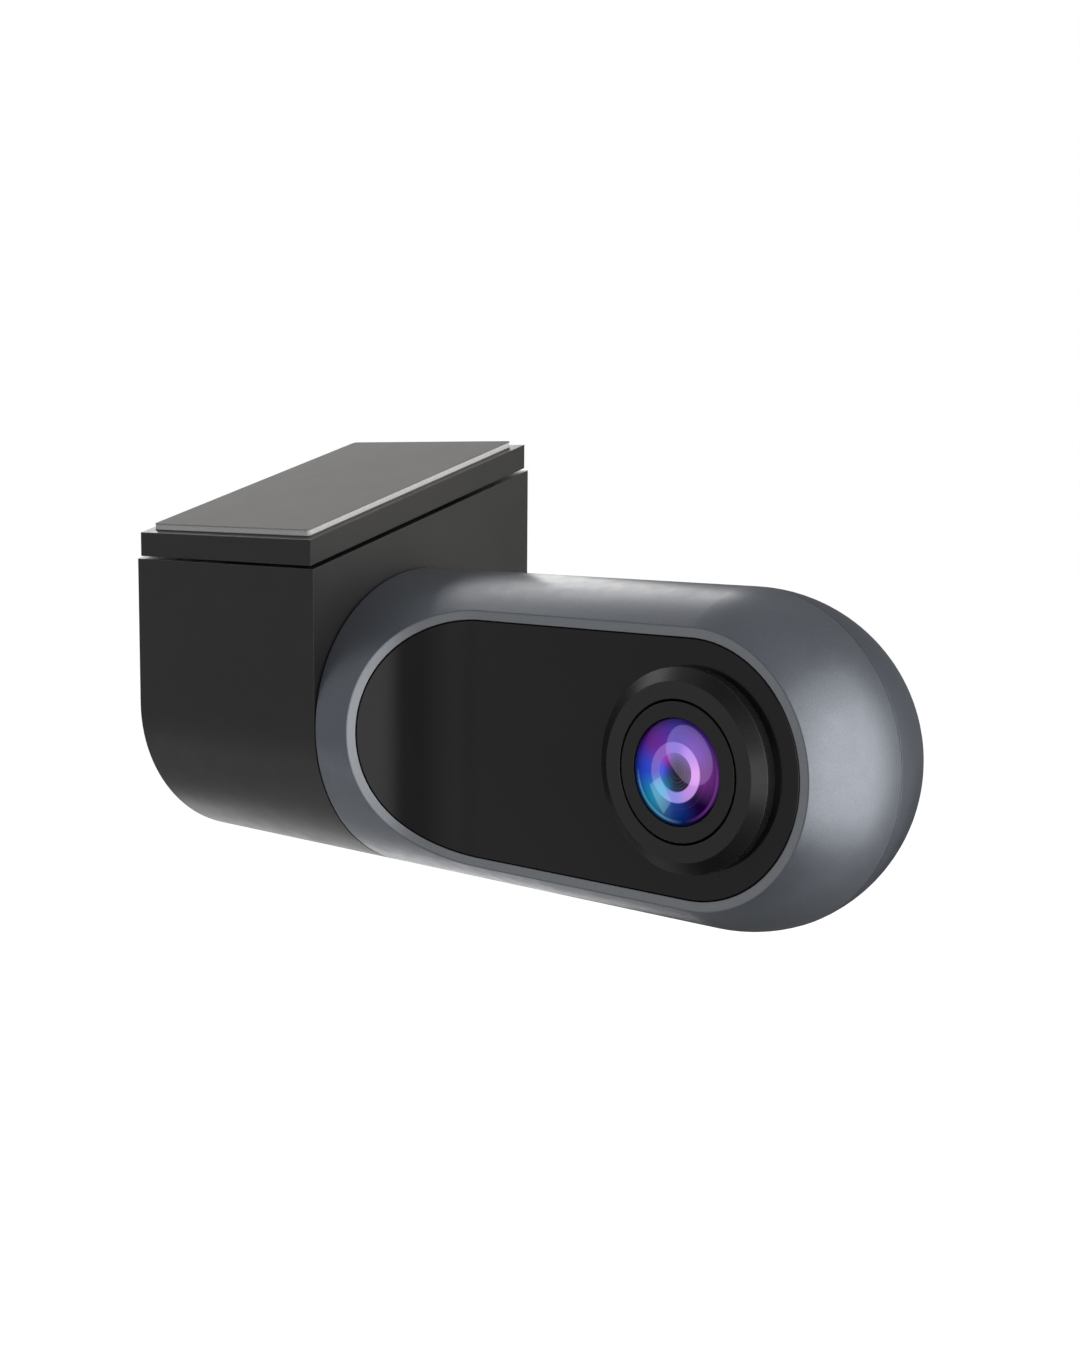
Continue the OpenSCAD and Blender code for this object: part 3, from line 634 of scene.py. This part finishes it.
def lens_optics(steps=128):
    """Glowing surface behind the front glass, painted with the coatings' reflections, turned about the lens
    axis, with a raised ring.
    """
    work = bmesh.new()
    rim_r = GLASS_R - 0.06 * MM
    rim_y = RING_Y + 0.15 * MM
    # Share of the radius, and how far in front of the rim in millimetres
    profile = [(1.0, 0.0), (0.8, 0.12), (0.6, 0.2), (0.58, 0.28), (0.37, 0.28), (0.355, 0.2),
               (0.2, 0.12), (0.1, 0.02)]
    rings = []
    for share, height in profile:
        ring = []
        for i in range(steps):
            a = 2 * math.pi * i / steps
            ring.append(work.verts.new((LENS_X + share * rim_r * math.cos(a), rim_y - height * MM,
                                        LENS_Z + share * rim_r * math.sin(a))))
        rings.append(ring)
    join_rings(work, rings)
    middle = work.verts.new((LENS_X, rim_y, LENS_Z))
    for i in range(steps):
        work.faces.new((rings[-1][i], rings[-1][(i + 1) % steps], middle))
    for face in work.faces:
        face.smooth = True
    piece = new_piece("lens_optics", work, optics("lens_coating_painted_glow"))
    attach(piece, "pod")
    return piece


LENS = lens_optics()
BEZEL = NODES["lens_bezel"]
GLASS = NODES["front_glass"]


# Studio

def direction(azimuth, elevation):
    """Unit vector towards a viewer; azimuth 0 stands in front, at -Y, and +90 at +X."""
    a, b = math.radians(azimuth), math.radians(elevation)
    return Vector((math.sin(a) * math.cos(b), -math.cos(a) * math.cos(b), math.sin(b)))


def backdrop():
    """A pale floor well below the camera, which is held up by its mount."""
    mesh = bpy.data.meshes.new("floor")
    half = 3.0
    drop = 0.16
    low = CAD_BOX[0][2] - drop
    corners = [(-half, -half, low), (half, -half, low), (half, half, low), (-half, half, low)]
    mesh.from_pydata(corners, [], [(0, 1, 2, 3)])
    floor = bpy.data.objects.new("floor", mesh)
    bpy.context.scene.collection.objects.link(floor)
    floor.visible_diffuse = False
    floor.visible_glossy = False
    g = Graph("pale_floor")
    g.link(g.mix(g.noise(40.0, 3.0), (0.90, 0.90, 0.90), (0.93, 0.93, 0.93)), g.shader.inputs["Base Color"])
    g.set(Roughness=0.9, Emission_Strength=0.8)
    g.shader.inputs["Emission Color"].default_value = (1.0, 1.0, 1.0, 1.0)
    mesh.materials.append(g.material)


def studio_air(level, lobes):
    """White room as a light of one level, changed by wide soft lobes.

    A lobe is its azimuth, elevation and reach in degrees, and the change of level in it."""
    world = bpy.data.worlds.new("studio")
    bpy.context.scene.world = world
    world.use_nodes = True
    tree = world.node_tree
    coordinate = tree.nodes.new("ShaderNodeTexCoord")
    even = tree.nodes.new("ShaderNodeValue")
    even.outputs[0].default_value = level
    total = even.outputs[0]
    for azimuth, elevation, reach, change in lobes:
        dot = tree.nodes.new("ShaderNodeVectorMath")
        dot.operation = "DOT_PRODUCT"
        dot.inputs[1].default_value = direction(azimuth, elevation)
        tree.links.new(coordinate.outputs["Generated"], dot.inputs[0])
        span = tree.nodes.new("ShaderNodeMapRange")
        span.interpolation_type = "SMOOTHSTEP"
        far, near = math.cos(math.radians(reach)), math.cos(math.radians(reach * 0.4))
        ends = {"From Min": far, "From Max": near, "To Min": 0.0, "To Max": change}
        for key, value in ends.items():
            span.inputs[key].default_value = value
        tree.links.new(dot.outputs["Value"], span.inputs["Value"])
        add = tree.nodes.new("ShaderNodeMath")
        add.operation = "ADD"
        tree.links.new(total, add.inputs[0])
        tree.links.new(span.outputs["Result"], add.inputs[1])
        total = add.outputs[0]
    path = tree.nodes.new("ShaderNodeLightPath")
    seen = tree.nodes.new("ShaderNodeMath")
    seen.operation = "MAXIMUM"
    tree.links.new(total, seen.inputs[0])
    tree.links.new(path.outputs["Is Camera Ray"], seen.inputs[1])
    tree.links.new(seen.outputs["Value"], tree.nodes["Background"].inputs["Strength"])
    tree.nodes["Background"].inputs["Color"].default_value = (1.0, 1.0, 1.0, 1.0)


def softbox(name, azimuth, elevation, spread, radiance, turn=0.0, shape="RECTANGLE", colour=(1, 1, 1)):
    """Area light of a given brightness; spread is its half width and half height in degrees."""
    distance = 0.5
    size = [2 * distance * math.tan(math.radians(angle)) for angle in spread]
    fill = math.pi / 4 if shape == "ELLIPSE" else 1.0
    light = bpy.data.lights.new(name, "AREA")
    light.shape = shape
    light.color = colour
    light.size, light.size_y = size
    light.energy = radiance * math.pi * size[0] * size[1] * fill
    lamp = bpy.data.objects.new(name, light)
    bpy.context.scene.collection.objects.link(lamp)
    back = direction(azimuth, elevation)
    lamp.location = AIM + back * distance
    lamp.rotation_euler = (-back).to_track_quat("-Z", "Y").to_euler()
    lamp.rotation_euler.rotate_axis("Z", math.radians(turn))
    lamp.visible_camera = False
    return lamp


def link_lamp(lamp, state, pieces):
    group = bpy.data.collections.new(lamp.name + "_receivers")
    for piece in pieces:
        group.objects.link(piece)
    for member in group.collection_objects:
        member.light_linking.link_state = state
    lamp.light_linking.receiver_collection = group


def lights_only(lamp, *pieces):
    """The lamp reaches only these pieces."""
    link_lamp(lamp, "INCLUDE", pieces)


def lights_all_but(lamp, *pieces):
    """The lamp reaches everything except these pieces."""
    link_lamp(lamp, "EXCLUDE", pieces)


# What the camera looks at, from the middle of the hinge, and where it stands
AIM = POD_AXIS + Vector((11.72, 6.56, 5.01)) * MM
VIEW = {"azimuth": 42.29, "elevation": 6.33, "roll": 0.41, "distance": 0.2074, "lens": 48.69}


def camera():
    data = bpy.data.cameras.new("camera")
    data.lens = VIEW["lens"]
    data.sensor_width = 36.0
    data.clip_start = 0.005
    data.clip_end = 20.0
    eye = bpy.data.objects.new("camera", data)
    bpy.context.scene.collection.objects.link(eye)
    back = direction(VIEW["azimuth"], VIEW["elevation"])
    turn = (-back).to_track_quat("-Z", "Y").to_matrix().to_4x4()
    roll = Matrix.Rotation(math.radians(VIEW["roll"]), 4, "Z")
    eye.matrix_world = Matrix.Translation(AIM + back * VIEW["distance"]) @ turn @ roll
    bpy.context.scene.camera = eye


WARM = (1.0, 0.97, 0.925)
LILAC = (0.86, 0.78, 1.0)
TEAL = (0.7, 1.0, 0.92)

AIR_LOBES = [
    (48, -5, 30, 0.9),      # behind the viewer
    (20, -65, 50, -0.22),   # below
    (195, 8, 42, -0.18),    # behind the dash camera
    (190, -42, 38, -0.18),  # behind and below it
    (155, 45, 35, -0.12),   # behind and above it
    (-8, 36, 30, -0.28),    # mirrored at the upper right of the bezel's chamfer
    (-28, -50, 28, -0.26),  # mirrored at the lower right of the bezel's chamfer
    (-42, -6, 40, 0.13),    # mirrored in the faces that look along -Y
    (-15, -6, 20, 0.12),    # mirrored where the panel's hollow sweep starts
    (-90, -10, 32, -0.28),  # left, beyond the bracket
    (243, -16, 34, -0.22),  # left and behind
]


def lamps():
    softbox("right_box", 98, 4, (35, 46), 1.22, colour=WARM)
    softbox("right_core", 98, 1, (24, 30), 1.4, colour=WARM)
    lights_all_but(softbox("behind_box", 243, -6, (19, 34), 1.42), BEZEL)
    softbox("top_box", 242, 24, (21, 18), 2.05, colour=WARM)
    lights_all_but(softbox("left_box", -82, 24, (14, 10), 1.6), GLASS, BEZEL, LENS)
    lights_all_but(softbox("low_box", -60, -38, (20, 18), 0.34), GLASS, BEZEL, LENS)
    lights_only(softbox("chamfer_box", -68, 31, (9, 9), 1.35), BEZEL)
    lights_only(softbox("chamfer_side", 22, -6, (14, 14), 0.6), BEZEL)
    # Two windows, seen only in the lens
    lights_only(softbox("window", -19, 5, (28, 22), 2.9, -30, "ELLIPSE", LILAC), LENS)
    lights_only(softbox("second_window", -57, -26, (8.5, 9.5), 2.2, 20, "RECTANGLE", TEAL), LENS)


backdrop()
studio_air(0.3, AIR_LOBES)
lamps()
camera()
bpy.context.scene.view_settings.view_transform = "Standard"
